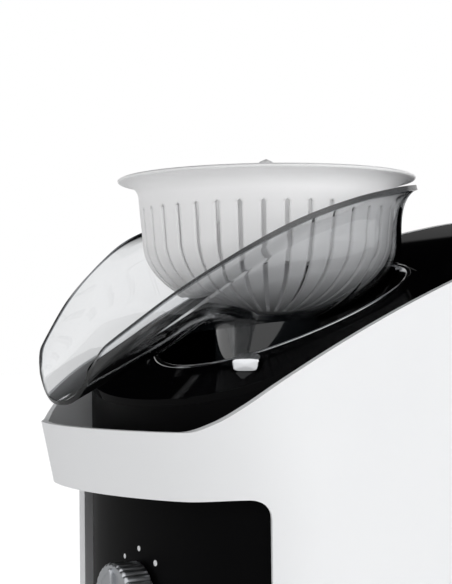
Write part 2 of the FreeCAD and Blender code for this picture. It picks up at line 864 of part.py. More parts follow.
def strainer_basket():
    junction = flange_top - flange_drop
    outside = strainer_form(0.0).cut(cylinder(flange_radius, junction, clear_top + overcut))
    flange = turn((
        (strainer_neck - strainer_wall, junction - flange_thickness),
        (strainer_neck, junction - flange_thickness),
        (flange_radius, flange_top - flange_thickness),
        (flange_radius, flange_top),
        (strainer_neck - strainer_wall, junction),
    ))
    basket = outside.cut(strainer_form(strainer_wall)).fuse(flange)
    # Centre tube that stands over the bowl's sleeve
    inner = sleeve_radius + tube_gap
    outer = inner + tube_wall
    cap_bottom = sleeve_top + seat_gap
    floor = strainer_belly - strainer_depth
    post = cylinder(outer, floor, cap_bottom + tube_wall).cut(strainer_outer_space())
    basket = basket.fuse(post).cut(cylinder(inner, 0.0, cap_bottom))
    basket = basket.cut(cylinder(shaft_radius + tube_gap, 0.0, clear_top))
    # Ring of upright slots
    half = slot_width / 2
    slot = block(slot_inner_radius, flange_radius, -half, half, 0.0, slot_top - half)
    start = V(slot_inner_radius, 0, slot_top - half)
    arch = Part.makeCylinder(half, flange_radius - slot_inner_radius, start, V(1, 0, 0))
    return basket.cut(around(slot.fuse(arch), slot_count))


def strainer_outer_space():
    """Space outside the basket's rounded bottom."""
    floor = strainer_belly - strainer_depth
    return cylinder(strainer_radius, floor - overcut, strainer_belly).cut(strainer_form(0.0))


def reamer_cone():
    height = cone_tip - cone_bottom
    blunt = cone_radius / 9
    outside = Part.makeCone(cone_radius - rib_depth, blunt, height, V(0, 0, cone_bottom))
    inside = Part.makeCone(cone_radius - rib_depth - cone_wall, blunt - 1, height - 2 * cone_wall,
                           V(0, 0, cone_bottom))
    rib = Part.Face(Part.makePolygon([
        V(cone_radius / 2, 0, cone_bottom),
        V(cone_radius, 0, cone_bottom),
        V(cone_radius, 0, cone_bottom + rib_depth),
        V(blunt + rib_depth / 2, 0, cone_tip - rib_depth),
        V(blunt / 2, 0, cone_tip - rib_depth / 2),
        V(cone_radius / 2, 0, cone_bottom),
    ])).extrude(V(0, rib_width, 0))
    rib.translate(V(0, -rib_width / 2, 0))
    cone = outside.fuse(around(rib, cone_ribs)).cut(inside)
    boss = cylinder(cone_boss, cone_bottom, cone_tip - rib_depth).common(outside)
    socket = hexagon(hex_across + 2 * drive_gap, 0.0, cone_bottom + hex_height + seat_gap)
    return cone.fuse(boss).cut(socket)


os.makedirs("parts", exist_ok=True)
bearing_low = motor_bottom + motor_plate - bearing_width
bearing_high = motor_top - motor_plate
pieces = {
    "outer_shell": outer_shell(),
    "deck_cover": deck_cover(),
    "trim_ring": trim_ring(),
    "bowl_catch": bowl_catch(),
    "front_panel": front_panel(),
    "base_plate": base_plate(),
    "rubber_feet": rubber_feet(),
    "base_screws": base_screws(),
    "motor_top_plate": motor_top_plate(),
    "motor_bottom_plate": motor_bottom_plate(),
    "tie_rods": tie_rods(),
    "motor_mounts": motor_mounts(),
    "motor_screws": motor_screws(),
    "upper_bearing": bearing(bearing_high),
    "lower_bearing": bearing(bearing_low),
    "stator_core": stator_core(),
    "stator_coils": stator_coils(),
    "shaft_seal": shaft_seal(),
    "selector_switch": selector_switch(),
    "control_board": control_board(),
    "board_components": board_components(),
    "board_screws": board_screws(),
    "cord_gland": cord_gland(),
    "drive_shaft": drive_shaft(),
    "motor_rotor": motor_rotor(),
    "cooling_fan": cooling_fan(),
    "drive_coupling": drive_coupling(),
    "control_knob": control_knob(),
    "juice_bowl": juice_bowl(),
    "shaft_bush": shaft_bush(),
    "cone_shaft": cone_shaft(),
    "strainer_basket": strainer_basket(),
    "reamer_cone": reamer_cone(),
}
for name, shape in pieces.items():
    save(name, shape)
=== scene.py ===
import json
from math import asin, cos, pi, radians, sin

import bpy
import numpy as np
from mathutils import Matrix, Vector


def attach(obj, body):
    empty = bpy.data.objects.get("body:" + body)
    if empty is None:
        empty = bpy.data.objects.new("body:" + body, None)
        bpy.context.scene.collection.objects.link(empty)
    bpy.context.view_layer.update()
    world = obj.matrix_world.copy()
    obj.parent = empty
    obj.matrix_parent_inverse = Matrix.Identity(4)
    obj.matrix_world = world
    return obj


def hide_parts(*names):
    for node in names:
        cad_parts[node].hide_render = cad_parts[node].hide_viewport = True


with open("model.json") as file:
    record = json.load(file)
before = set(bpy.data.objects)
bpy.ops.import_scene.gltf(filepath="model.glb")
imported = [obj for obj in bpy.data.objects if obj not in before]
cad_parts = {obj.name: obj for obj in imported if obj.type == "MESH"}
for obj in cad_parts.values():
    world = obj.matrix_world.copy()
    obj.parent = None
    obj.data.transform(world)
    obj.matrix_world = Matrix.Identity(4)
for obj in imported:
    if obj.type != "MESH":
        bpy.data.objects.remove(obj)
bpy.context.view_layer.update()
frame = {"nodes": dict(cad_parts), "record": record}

scene = bpy.context.scene
scene.view_settings.view_transform = "Standard"

# Sizes in millimetres and angles in degrees, measured from the drive axis; Z is up from the table, -Y is the
# pouring side.
DRIVE_AXIS_Y = -61.25
HALF_WIDTH = 95.0
WALL = 3.6
SHELL_BOTTOM = 5.0
REAR_Y = 190.0
REAR_LENGTH = 50.0
HOOP_REACH = 108.2
HOOP_TOP = 139.2
HOOP_HEIGHT = 30.5
HOOP_BOTTOM = HOOP_TOP - HOOP_HEIGHT
HOOP_LEAN = 6.7 / HOOP_HEIGHT
HOOP_BOW = 176.0
HOOP_ROUND = 61.0
ROUND_X = HALF_WIDTH - HOOP_ROUND
BOW_TURN = asin(ROUND_X / (HOOP_BOW - HOOP_ROUND))
ROUND_SHARE = 0.3
SWEEP_Y = (-92.0, -83.0, -73.0, -61.0, -45.0)
SWEEP_RISE = (0.0, 4.1, 11.3, 19.9)
EDGE_DROP = 0.4
LEG_Y = -61.0
LEG_CORNER = 8.0
HOOP_ARCH = 1.2
ARCH_RUN = 0.12
CROWN_RADIUS = 894.0
CROWN_SLOPE = 23.5
CROWN_HEIGHT = 189.5
CROWN_Y = CROWN_RADIUS * sin(radians(CROWN_SLOPE))
CROWN_Z = CROWN_HEIGHT - CROWN_RADIUS * cos(radians(CROWN_SLOPE))
WELL_Y = 7.8
RIM_HALF_WIDTH = 71.3
RIM_FRONT = 58.1
RIM_BACK = 64.5
RIM_Y = 5.3
CATCH_ANGLE = 43.0
CATCH_OFFSET = -0.9
CATCH_REACH = 75.5
CATCH_Z = 167.4
CATCH_HALF_HEIGHT = 2.95
DECK_SLOPE = 0.25
NOSE_Y = -40.0
NOSE_LENGTH = 36.0
PANEL_HALF = 91.1
KNOB_Z = 58.0
KNOB_FLUTES = 30
FLUTE_DEPTH = 0.55
DIAL_RADIUS = 22.5
DIAL_DOTS = 7
GLAND_Z = 30.0
BELLY_RADIUS = 67.5
BELLY_RISE = 41.4
BOWL_LIP = 3.4
BOWL_WALL = 2.2
SLOT_COUNT = 36
SLOT_HALF = 1.05
SLOT_SHIFT = 0.4
SLOT_TOP = 244.0
SLOT_INNER = 22.0
BASKET_RADIUS = 62.6
BASKET_WALL = 1.8
CONE_RIBS = 10
RIB_HEIGHT = 4.5
CONE_RADIUS = 32.5
CONE_WALL = 2.6
CONE_BOTTOM = 216.4
CONE_RISE = 53.6
CONE_INNER_TOP = 263.0


# Meshes

def to_linear(code):
    """Linear red, green and blue of an sRGB hex colour, with full opacity."""
    srgb = np.array([int(code[k:k + 2], 16) for k in (1, 3, 5)]) / 255.0
    linear = np.where(srgb <= 0.04045, srgb / 12.92, ((srgb + 0.055) / 1.055) ** 2.4)
    return (*linear.tolist(), 1.0)


def smooth_step(t):
    """0 below 0, 1 above 1, and the cubic with level ends between."""
    t = np.clip(t, 0.0, 1.0)
    return t * t * (3.0 - 2.0 * t)


def curve_through(knots, values, at, ends=None):
    """Cubic curve through given points: each span is a Hermite cubic whose end slopes are central
    differences. The slopes at the two ends of the whole curve can be given."""
    knots, values = np.asarray(knots, float), np.asarray(values, float)
    slope = np.gradient(values, knots)
    if ends is not None:
        slope[[0, -1]] = ends
    k = np.clip(np.searchsorted(knots, at) - 1, 0, len(knots) - 2)
    span = knots[k + 1] - knots[k]
    t = (at - knots[k]) / span
    return ((1 + 2 * t) * (1 - t) ** 2 * values[k] + t * (1 - t) ** 2 * span * slope[k]
            + t * t * (3 - 2 * t) * values[k + 1] + t * t * (t - 1) * span * slope[k + 1])


def full_turn(steps):
    """Angles of a full turn in equal steps, the first at +X."""
    return np.arange(steps) * 2 * pi / steps


def squared_up(wave, power):
    """A power of a cosine or sine that keeps its sign: below 1 it turns a circle into a rounded oblong."""
    return np.sign(wave) * np.abs(wave) ** power


def grid_points(x, y, z):
    """Points of a grid, row by row, from coordinates that are spread over each other."""
    return np.stack(np.broadcast_arrays(x, y, z), -1).reshape(-1, 3)


def grid_quads(rows, columns, close_rows=False, close_columns=False):
    """Corner numbers of the quads of a rows x columns grid, joined round where asked."""
    index = np.arange(rows * columns).reshape(rows, columns)
    if close_rows:
        index = np.vstack([index, index[:1]])
    if close_columns:
        index = np.hstack([index, index[:, :1]])
    quads = np.stack([index[:-1, :-1], index[:-1, 1:], index[1:, 1:], index[1:, :-1]], -1)
    return quads.reshape(-1, 4)


def gather(*parts):
    """Several (points, quads) surfaces as one, the later ones numbered on from the earlier."""
    start = np.cumsum([0] + [len(points) for points, _ in parts[:-1]])
    return (np.vstack([points for points, _ in parts]),
            np.vstack([quads + s for s, (_, quads) in zip(start, parts)]))


def laid(surface, height):
    """A surface made round the drive axis, turned so that its axis runs along Y at a height."""
    return surface[0][:, [0, 2, 1]] * (1.0, 1.0, -1.0) + (0.0, 0.0, height), surface[1]


def revolve(radius, height, steps=144):
    """Surface of revolution: each (radius, height) point of the closed profile is carried round the drive
    axis. A profile that runs anticlockwise in the (radius, height) plane gives faces that point outwards."""
    angle = full_turn(steps)
    radius, height = np.array(radius, float)[:, None], np.array(height, float)[:, None]
    points = grid_points(radius * np.cos(angle), radius * np.sin(angle), height)
    return points, grid_quads(len(radius), steps, True, True)[:, ::-1]


def piece(name, surface, body, material, replaces=(), sharp=40.0, shade=None):
    """Put a surface into a mesh object: points that coincide are merged, collapsed quads become triangles
    or go, the drive-axis frame in mm becomes the part's frame in metres, and the piece rides on its body.
    A shade, one number per point, is kept as the mesh's "edge" attribute for the material to read."""
    points, quads = surface
    _, first, merged = np.unique(np.round(points, 3) + 0.0, axis=0, return_index=True, return_inverse=True)
    quads = merged.reshape(-1)[quads]
    points = (points[first] + (0.0, DRIVE_AXIS_Y, 0.0)) / 1000.0
    keep = quads != np.roll(quads, 1, axis=1)
    count = keep.sum(1)
    crossed = (quads[:, 0] == quads[:, 2]) | (quads[:, 1] == quads[:, 3])
    whole = (count >= 3) & ~crossed
    corners, totals = quads[whole][keep[whole]], count[whole]
    mesh = bpy.data.meshes.new(name)
    mesh.vertices.add(len(points))
    mesh.vertices.foreach_set("co", points.ravel())
    mesh.loops.add(len(corners))
    mesh.loops.foreach_set("vertex_index", corners.astype(np.int32))
    mesh.polygons.add(len(totals))
    mesh.polygons.foreach_set("loop_start", (np.cumsum(totals) - totals).astype(np.int32))
    mesh.polygons.foreach_set("use_smooth", np.ones(len(totals), bool))
    mesh.update(calc_edges=True)
    mesh.validate()
    mesh.set_sharp_from_angle(angle=radians(sharp))
    if shade is not None:
        edge = mesh.attributes.new("edge", "FLOAT", "POINT")
        edge.data.foreach_set("value", shade[first].astype(np.float32))
    made = bpy.data.objects.new(name, mesh)
    scene.collection.objects.link(made)
    mesh.materials.append(material)
    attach(made, body)
    if replaces:
        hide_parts(*replaces)
    return made


def soften(made, width, segments=3, angle=40.0):
    """Rounded edges, as a mould leaves them: a bevel of the given width in mm on edges over the angle."""
    bevel = made.modifiers.new("soft_edges", "BEVEL")
    bevel.width = width / 1000.0
    bevel.segments = segments
    bevel.limit_method = "ANGLE"
    bevel.angle_limit = radians(angle)
    bevel.harden_normals = True
    bevel.use_clamp_overlap = True


def thicken(made, thickness):
    """A sheet becomes a wall of the given thickness in mm, on the side away from its normals."""
    solid = made.modifiers.new("wall", "SOLIDIFY")
    solid.thickness = thickness / 1000.0
    solid.offset = -1.0
    solid.use_rim = True


# Materials

def add(tree, kind, inputs=(), **settings):
    """Add one node, set it up and link or fill its sockets."""
    made = tree.nodes.new(kind)
    for key, value in settings.items():
        setattr(made, key, value)
    for socket, value in dict(inputs).items():
        if isinstance(value, bpy.types.NodeSocket):
            tree.links.new(value, made.inputs[socket])
        else:
            made.inputs[socket].default_value = value
    return made


def start(name):
    """A new material with its shader, output and Object coordinates."""
    made = bpy.data.materials.new(name)
    made.use_nodes = True
    tree = made.node_tree
    shader = tree.nodes["Principled BSDF"]
    place = add(tree, "ShaderNodeTexCoord").outputs["Object"]
    return made, tree, shader, place


def per_metre(mm):
    """Texture scale at which one repeat of a pattern is the given size in mm."""
    return 1000.0 / mm


def dress(tree, shader, tone, relief, shade, tint, roughness, rough_span, height):
    """Let a tone vary colour and gloss, and make a relief of the given height in mm the bump."""
    colour = add(tree, "ShaderNodeMix", {"Factor": tone, 6: to_linear(shade), 7: to_linear(tint)},
                 data_type="RGBA")
    gloss = add(tree, "ShaderNodeMapRange", {"Value": tone, "To Min": roughness - rough_span,
                                             "To Max": roughness + rough_span})
    bump = add(tree, "ShaderNodeBump", {"Height": relief, "Strength": 1.0, "Distance": height / 1000.0})
    tree.links.new(colour.outputs[2], shader.inputs["Base Color"])
    tree.links.new(gloss.outputs["Result"], shader.inputs["Roughness"])
    tree.links.new(bump.outputs["Normal"], shader.inputs["Normal"])


def moulded(name, shade, tint, roughness, rough_span, grain_mm, grain_height, ior=1.5, cloud_mm=60.0):
    """Moulded plastic: a large soft cloud varies colour and gloss, a fine grain from the mould is bump."""
    made, tree, shader, place = start(name)
    cloud = add(tree, "ShaderNodeTexNoise", {"Vector": place, "Scale": per_metre(cloud_mm), "Detail": 3.0})
    grain = add(tree, "ShaderNodeTexNoise", {"Vector": place, "Scale": per_metre(grain_mm), "Detail": 2.0})
    dress(tree, shader, cloud.outputs["Fac"], grain.outputs["Fac"], shade, tint, roughness, rough_span,
          grain_height)
    shader.inputs["IOR"].default_value = ior
    return made, shader


# ABS shell, moulded in a lightly spark-eroded tool: satin white, with a grain that softens its gloss.
white_abs = moulded("white_abs_satin", "#F0F1F3", "#F5F6F7", 0.38, 0.04, 0.45, 0.006)[0]

# ABS with a thin polished lacquer: deep black, with sharp but weak reflections.
black_abs, black_shader = moulded("black_abs_lacquered", "#030304", "#060607", 0.3, 0.04, 9.0, 0.003)
black_shader.inputs["Specular IOR Level"].default_value = 0.0
black_shader.inputs["Coat Weight"].default_value = 0.14
black_shader.inputs["Coat Roughness"].default_value = 0.04

# The same ABS in a blasted tool: satin black, its IOR lowered until it mirrors as little as in the photo.
satin_abs = moulded("black_abs_satin", "#060607", "#0A0A0B", 0.42, 0.05, 0.6, 0.008, ior=1.1)[0]

# Polypropylene in a plain tool: dark grey, matt, slightly grainy.
grey_pp = moulded("grey_pp_matt", "#2A2B2D", "#333436", 0.55, 0.06, 0.6, 0.02)[0]

# Nitrile rubber, moulded: soft black with a dusty bloom.
foot_rubber = moulded("moulded_rubber", "#171717", "#222222", 0.75, 0.08, 0.5, 0.03)[0]

# Polypropylene, milky: thin walls let some light through, so shaded sides glow a little.
white_pp, pp_shader = moulded("milky_pp", "#FAFAFB", "#FDFDFE", 0.30, 0.04, 1.2, 0.004, ior=1.49)
pp_shader.inputs["Subsurface Weight"].default_value = 0.3
pp_shader.inputs["Subsurface Radius"].default_value = (1.0, 1.0, 1.0)
pp_shader.inputs["Subsurface Scale"].default_value = 0.003

# Styrene-acrylonitrile with a smoke tint, polished: clear. Along the rim it carries painted shade: a dark
# grey band beside the rim and at the beak's end, and a paler, less clear grey on the rim itself, where the
# eye looks along the wall.
smoky_san, san_tree, san_shader, san_place = start("smoky_san_clear")
flow = add(san_tree, "ShaderNodeTexNoise", {"Vector": san_place, "Scale": per_metre(35.0), "Detail": 1.0})
edge = add(san_tree, "ShaderNodeAttribute", attribute_name="edge").outputs["Fac"]
rim = add(san_tree, "ShaderNodeMath", {0: edge, 1: 8.0}, operation="POWER").outputs["Value"]
# Painted shade: the ramp paints the dark band beside the rim and the paler grey on it, and the rim is made
# less clear
tint = add(san_tree, "ShaderNodeValToRGB", {"Fac": edge})
tint.color_ramp.elements[0].color = to_linear("#FAFBFC")
tint.color_ramp.elements[1].color = to_linear("#DADCDF")
tint.color_ramp.elements.new(0.5).color = to_linear("#7C7F83")
san_tree.links.new(tint.outputs["Color"], san_shader.inputs["Base Color"])
clearness = add(san_tree, "ShaderNodeMapRange", {"Value": rim, "To Min": 1.0, "To Max": 0.86})
san_tree.links.new(clearness.outputs["Result"], san_shader.inputs["Transmission Weight"])
san_shader.inputs["IOR"].default_value = 1.57
ripple = add(san_tree, "ShaderNodeMapRange", {"Value": flow.outputs["Fac"], "To Min": 0.0, "To Max": 0.02})
worn = add(san_tree, "ShaderNodeMapRange", {"Value": rim, "To Min": 0.0, "To Max": 0.12})
gloss = add(san_tree, "ShaderNodeMath", {0: ripple.outputs["Result"], 1: worn.outputs["Result"]},
            operation="ADD")
san_tree.links.new(gloss.outputs["Value"], san_shader.inputs["Roughness"])
smoke = add(san_tree, "ShaderNodeVolumeAbsorption", {"Color": to_linear("#8E9196"), "Density": 65.0})
san_tree.links.new(smoke.outputs["Volume"], san_tree.nodes["Material Output"].inputs["Volume"])

# The same resin in the foot, painted dark: painted shade, a dark smoke that lets hardly any light through.
painted_dark_san, painted_dark_shader = moulded("smoky_san_painted_dark", "#17191B", "#202326", 0.06, 0.02, 12.0, 0.002,
                                  ior=1.57)
painted_dark_shader.inputs["Transmission Weight"].default_value = 0.15


def metal(name, shade, tint, roughness, rough_span, stretch, pattern_mm, height):
    """Metal: one noise, stretched where it stands for brushing or turning marks, varies colour, gloss and
    bump."""
    made, tree, shader, place = start(name)
    turned = add(tree, "ShaderNodeMapping", {"Vector": place, "Scale": stretch})
    noise = add(tree, "ShaderNodeTexNoise", {"Vector": turned.outputs["Vector"],
                                             "Scale": per_metre(pattern_mm), "Detail": 3.0})
    marks = noise.outputs["Fac"]
    dress(tree, shader, marks, marks, shade, tint, roughness, rough_span, height)
    shader.inputs["Metallic"].default_value = 1.0
    return made


# Chromium plated on polished plastic: mirror-like, a little soft where the plating is thicker.
chromed = metal("bright_chrome_plate", "#D4D6D9", "#E2E3E5", 0.10, 0.04, (1, 1, 1), 14.0, 0.002)
# Steel with a bluish zinc coat, satin from the bath.
zinc_steel = metal("zinc_plated_steel", "#B4B8BE", "#C9CCD1", 0.34, 0.08, (1, 1, 1), 3.0, 0.01)
# Aluminium, pressure die cast: pale, with the dull mottling of the die.
cast_aluminium = metal("die_cast_aluminium", "#B9BABC", "#CDCECF", 0.48, 0.1, (1, 1, 1), 2.0, 0.03)
# Bearing steel, ground: fine marks run round the axis.
bearing_steel = metal("ground_bearing_steel", "#A9ACB0", "#C3C5C8", 0.22, 0.08, (0.2, 0.2, 3), 1.0, 0.004)
# Core of stacked electrical sheet: the 0.5 mm sheets show as level lines, drawn at 1.5 mm to be seen.
core_steel = metal("stacked_core_steel", "#5C5F64", "#80838A", 0.45, 0.1, (0.02, 0.02, 1), 1.5, 0.08)
# Enamelled copper wire: the turns run round the ring, drawn at 1.2 mm.
copper_wire = metal("enamelled_copper_wire", "#8E4F22", "#C07B42", 0.35, 0.08, (0.05, 0.05, 1), 1.2, 0.15)
# Zinc knob, brushed and painted silver: fine upright lines on its face.
knob_silver = metal("silver_painted_knob", "#AEB1B5", "#C6C8CB", 0.32, 0.06, (3, 0.3, 0.3), 1.5, 0.004)

# Glass-epoxy board with green solder mask: the woven glass shows through as a faint grain.
board_laminate = moulded("green_board_laminate", "#0E4A28", "#15603A", 0.42, 0.05, 0.8, 0.02,
                         cloud_mm=12.0)[0]

finishes = {
    "white_abs": white_abs, "black_abs": black_abs, "chromed_trim": chromed, "grey_pp": grey_pp,
    "foot_rubber": foot_rubber, "zinc_steel": zinc_steel, "cast_aluminium": cast_aluminium,
    "bearing_steel": bearing_steel, "core_steel": core_steel, "copper_wire": copper_wire,
    "board_laminate": board_laminate, "brushed_knob": knob_silver, "smoky_san": smoky_san,
    "white_pp": white_pp,
}
for part in frame["record"]["subparts"]:
    mesh = frame["nodes"][part["node"]].data
    mesh.materials.clear()
    mesh.materials.append(satin_abs if part["node"] == "front_panel" else finishes[part["material_slot"]])


# Shell

def crown(y, drop=0.0):
    """Height of the crowned top line: an arc of the crown radius, less a depth measured along it."""
    return CROWN_Z + np.sqrt((CROWN_RADIUS - drop) ** 2 - (y - CROWN_Y) ** 2)


def shell_top_edge(y):
    """Height of the shell's top edge: level over the hoop, a smooth sweep through its points, then the
    crown."""
    end = SWEEP_Y[-1]
    heights = [HOOP_TOP + rise for rise in SWEEP_RISE] + [crown(end, EDGE_DROP)]
    slope = (CROWN_Y - end) / (crown(end, EDGE_DROP) - CROWN_Z)
    sweep = curve_through(SWEEP_Y, heights, np.clip(y, SWEEP_Y[0], end), (0.0, slope))
    return np.where(y < end, sweep, crown(np.maximum(y, end), EDGE_DROP))


def front_centre(z):
    """Where along the body the round corners of the front have their centre, at a height: the hoop leans."""
    reach = HOOP_REACH + (np.clip(z, HOOP_BOTTOM, HOOP_TOP + HOOP_HEIGHT) - HOOP_TOP) * HOOP_LEAN
    return HOOP_BOW - reach - (HOOP_BOW - HOOP_ROUND) * cos(BOW_TURN)


def plan_point(way, z, inset):
    """Point of the plan outline. The way round runs 0..1 along the front from +X to -X (a round corner, the
    shallow bow, a round corner: arcs that share their tangents), 1..2 along the left side, 2..3 round the
    back (half an ellipse), 3..4 along the right side."""
    half = HALF_WIDTH - inset
    round_y = front_centre(z)
    near = np.minimum(way, 1.0 - way)
    on_round = near < ROUND_SHARE
    turn = np.where(on_round, near / ROUND_SHARE * (pi / 2 - BOW_TURN),
                    pi / 2 - BOW_TURN * (0.5 - near) / (0.5 - ROUND_SHARE))
    radius = np.where(on_round, HOOP_ROUND, HOOP_BOW) - inset
    back_turn = (way - 2.0) * pi
    sides = [way < 1, way < 2, way < 3]
    front_x = np.sign(0.5 - way) * (np.where(on_round, ROUND_X, 0.0) + radius * np.cos(turn))
    bow_y = np.where(on_round, 0.0, (HOOP_BOW - HOOP_ROUND) * cos(BOW_TURN))
    front_y = round_y + bow_y - radius * np.sin(turn)
    x = np.select(sides, [front_x, -half + 0 * way, -half * np.cos(back_turn)], half + 0 * way)
    y = np.select(sides, [front_y, round_y + (way - 1) * (REAR_Y - round_y),
                          REAR_Y + (REAR_LENGTH - inset) * np.sin(back_turn)],
                  REAR_Y - (way - 3) * (REAR_Y - round_y))
    return x, y


def leg_way(y):
    """Place on the front's outline, counted from +X, at which it passes a given depth below the hoop."""
    turn = np.arcsin((front_centre(HOOP_BOTTOM) - y) / HOOP_ROUND)
    return turn / (pi / 2 - BOW_TURN) * ROUND_SHARE


def shell_surface():
    """White shell: an upright wall section carried round the plan outline. Each section runs up the outside
    and down the inside between the lower edge, which is the table side or the hoop's underside with rounded
    corners, and the swept top edge. The underside rises a little towards its corners. Where the underside
    ends on a leg, a strip across the wall closes the leg's front."""
    corner = np.linspace(0.0, 1.0, 9)
    corner_z = HOOP_BOTTOM + HOOP_ARCH - LEG_CORNER * (1 - np.sin(corner * pi / 2))
    corner_y = LEG_Y - LEG_CORNER * (1 - np.cos(corner * pi / 2))
    leg, corner_end = leg_way(LEG_Y), leg_way(LEG_Y - LEG_CORNER)
    nose = np.linspace(corner_end, 0.5, 90)[1:]
    lead = np.linspace(0.0, leg, 8)
    half_way = np.concatenate([lead, leg_way(corner_y), nose])
    arch = HOOP_ARCH * smooth_step(1 - (nose - corner_end) / ARCH_RUN)
    half_low = np.concatenate([np.full(len(lead), SHELL_BOTTOM), corner_z, HOOP_BOTTOM + arch])
    rest = np.concatenate([np.linspace(1, 2, 120)[1:], np.linspace(2, 3, 90)[1:],
                           np.linspace(3, 4, 120)[1:-1]])
    way = np.concatenate([half_way, 1 - half_way[-2::-1], rest])
    low = np.concatenate([half_low, half_low[-2::-1], np.full(len(rest), SHELL_BOTTOM)])
    # Rows of the legs end where the corners start, so that both sides of a leg's front edge share their rows
    leg_rows, upper_rows = 14, 24
    join = np.maximum(low, corner_z[0])
    leg_level = np.linspace(0.0, 1.0, leg_rows + 1)[:-1, None]
    level = np.linspace(0.0, 1.0, upper_rows + 1)[:, None]
    sides = []
    for inset in (0.0, WALL):
        top = np.full(len(way), HOOP_TOP)
        for _ in range(6):
            top = shell_top_edge(plan_point(way, top, inset)[1])
        z = np.vstack([low + leg_level * (join - low), join + level * (top - join)])
        x, y = plan_point(way + 0 * z, z, inset)
        sides.append(np.stack([x, y, z], -1))
    rows = np.concatenate([sides[0], sides[1][::-1]])
    columns = len(way)
    quads = grid_quads(len(rows), columns, True, True).reshape(len(rows), columns, 4)
    right, left = len(lead) - 1, 2 * len(half_way) - 2 - len(lead)
    kept = np.ones(columns, bool)
    kept[[right, left]] = False
    up = np.arange(leg_rows)
    outer, inner = up * columns, (len(rows) - 1 - up) * columns
    strip = np.stack([inner, inner - columns, outer + columns, outer], -1)
    ends = [strip + right, strip[:, ::-1] + left + 1]
    return rows.reshape(-1, 3), np.vstack([quads[:, kept].reshape(-1, 4)] + ends)


shell = piece("white_shell", shell_surface(), "base", white_abs, ["outer_shell"], sharp=50.0)
soften(shell, 1.6, 4)


# Rim of the well, its chromed line and the chromed catch

def rim_section(across, rise):
    """A section carried round the well's rim. The rim's plan is two half ellipses that share their width, the
    front one shorter, and each point stands at its rise over the crowned top line there."""
    around = full_turn(288)
    across, rise = np.array(across)[:, None], np.array(rise)[:, None]
    length = np.where(np.sin(around) < 0, RIM_FRONT, RIM_BACK)
    x, y = (RIM_HALF_WIDTH + across) * np.cos(around), RIM_Y + (length + across) * np.sin(around)
    return grid_points(x, y, crown(y) + rise), grid_quads(len(across), len(around), True, True)


well_rim = rim_section([-1.6, -1.6, -1.0, -0.4, 0.4, 5.0], [-4.0, 1.1, 1.4, 1.5, 1.35, -1.6])
piece("well_rim", well_rim, "base", black_abs, sharp=50.0)
chrome_line = rim_section([-1.9, -1.9, -1.6, -0.6, 0.1, 0.35, 0.35, -1.0],
                          [-0.8, 1.5, 1.7, 1.78, 1.7, 1.5, 0.8, -0.8])
piece("trim_ring_plated", chrome_line, "base", chromed, ["trim_ring"], sharp=70.0)


def catch_surface():
    """Catch: a rounded oblong (a superellipse) carried straight out from the rim at the catch's angle,
    narrower at its foot, its top following the slope of the deck, and closed by a slightly domed face."""
    around = full_turn(64)
    out = np.array([66.0, 70.0, 74.8, 75.2, 75.4, 75.45, CATCH_REACH])[:, None]
    size = np.array([1.0, 1.0, 1.0, 0.98, 0.93, 0.9, 0.0])[:, None]
    up = squared_up(np.sin(around), 0.4)
    side = (6.2 + 0.4 * up) * squared_up(np.cos(around), 0.4)
    across = CATCH_OFFSET + side * size
    lift = CATCH_Z - DECK_SLOPE * (out - CATCH_REACH) * (up > 0) + CATCH_HALF_HEIGHT * up * size
    turn = radians(CATCH_ANGLE)
    x = across * cos(turn) + out * sin(turn)
    y = WELL_Y + across * sin(turn) - out * cos(turn)
    return grid_points(x, y, lift), grid_quads(len(out), len(around), False, True)


piece("chromed_catch", catch_surface(), "base", chromed, ["bowl_catch"], sharp=12.0)


# Selector knob, its dial and the cord gland

def knob_surface():
    """Knob: a round profile, from its back over a rounded front edge to the middle of its face, carried round
    the axis; shallow flutes, a power of the cosine, are drawn into the side."""
    around = full_turn(240)
    bend = np.linspace(0, pi / 2, 7)
    radius = np.concatenate([[0.0, 16.4, 17.0, 17.0], 15.2 + 1.8 * np.cos(bend), [12.6, 12.0, 0.0]])[:, None]
    depth = np.concatenate([[-77.1, -77.1, -77.7, -84.0], -89.2 - 1.8 * np.sin(bend),
                            [-91.0, -90.5, -90.5]])[:, None]
    on_side = np.clip((radius - 15.0) / 1.6, 0, 1)
    flute = FLUTE_DEPTH * (0.5 + 0.5 * np.cos(KNOB_FLUTES * around)) ** 3 * on_side
    points = grid_points((radius - flute) * np.cos(around), (radius - flute) * np.sin(around), depth)
    return laid((points, grid_quads(len(radius), len(around), False, True)), KNOB_Z)


def pointer_surface():
    """Pointer on the knob's face: a long superellipse carried forwards, its front edge drawn in."""
    around = full_turn(48)
    size = np.array([1.0, 1.0, 0.85, 0.6, 0.0])[:, None]
    x = 1.5 * squared_up(np.cos(around), 0.6) * size
    y = np.array([-90.0, -91.9, -92.4, -92.6, -92.7])[:, None]
    z = KNOB_Z + 8.2 + 6.2 * squared_up(np.sin(around), 0.6) * (0.9 + 0.1 * size) * (size > 0)
    return grid_points(x, y, z), grid_quads(len(size), len(around), False, True)[:, ::-1]


def panel_front(x):
    """How far forward the black front reaches: half an ellipse."""
    return NOSE_Y - NOSE_LENGTH * np.sqrt(1 - (x / PANEL_HALF) ** 2)


def dial_surface():
    """Printed dots round the knob, growing from the first to the last: low domes on the curved front."""
    place = np.radians(np.linspace(-120.0, 120.0, DIAL_DOTS))[:, None, None]
    grow = np.linspace(0.9, 1.7, DIAL_DOTS)[:, None, None]
    across = np.array([1.0, 1.0, 0.7, 0.0])[None, :, None]
    around = full_turn(24)
    x = DIAL_RADIUS * np.sin(place) + grow * across * np.cos(around)
    z = KNOB_Z + DIAL_RADIUS * np.cos(place) + grow * across * np.sin(around)
    y = panel_front(x) + np.array([0.2, -0.1, -0.14, -0.15])[None, :, None]
    quads = grid_quads(across.size, around.size, False, True)
    dots = np.arange(DIAL_DOTS)[:, None, None] * across.size * around.size
    return grid_points(x, y, z), (quads + dots).reshape(-1, 4)


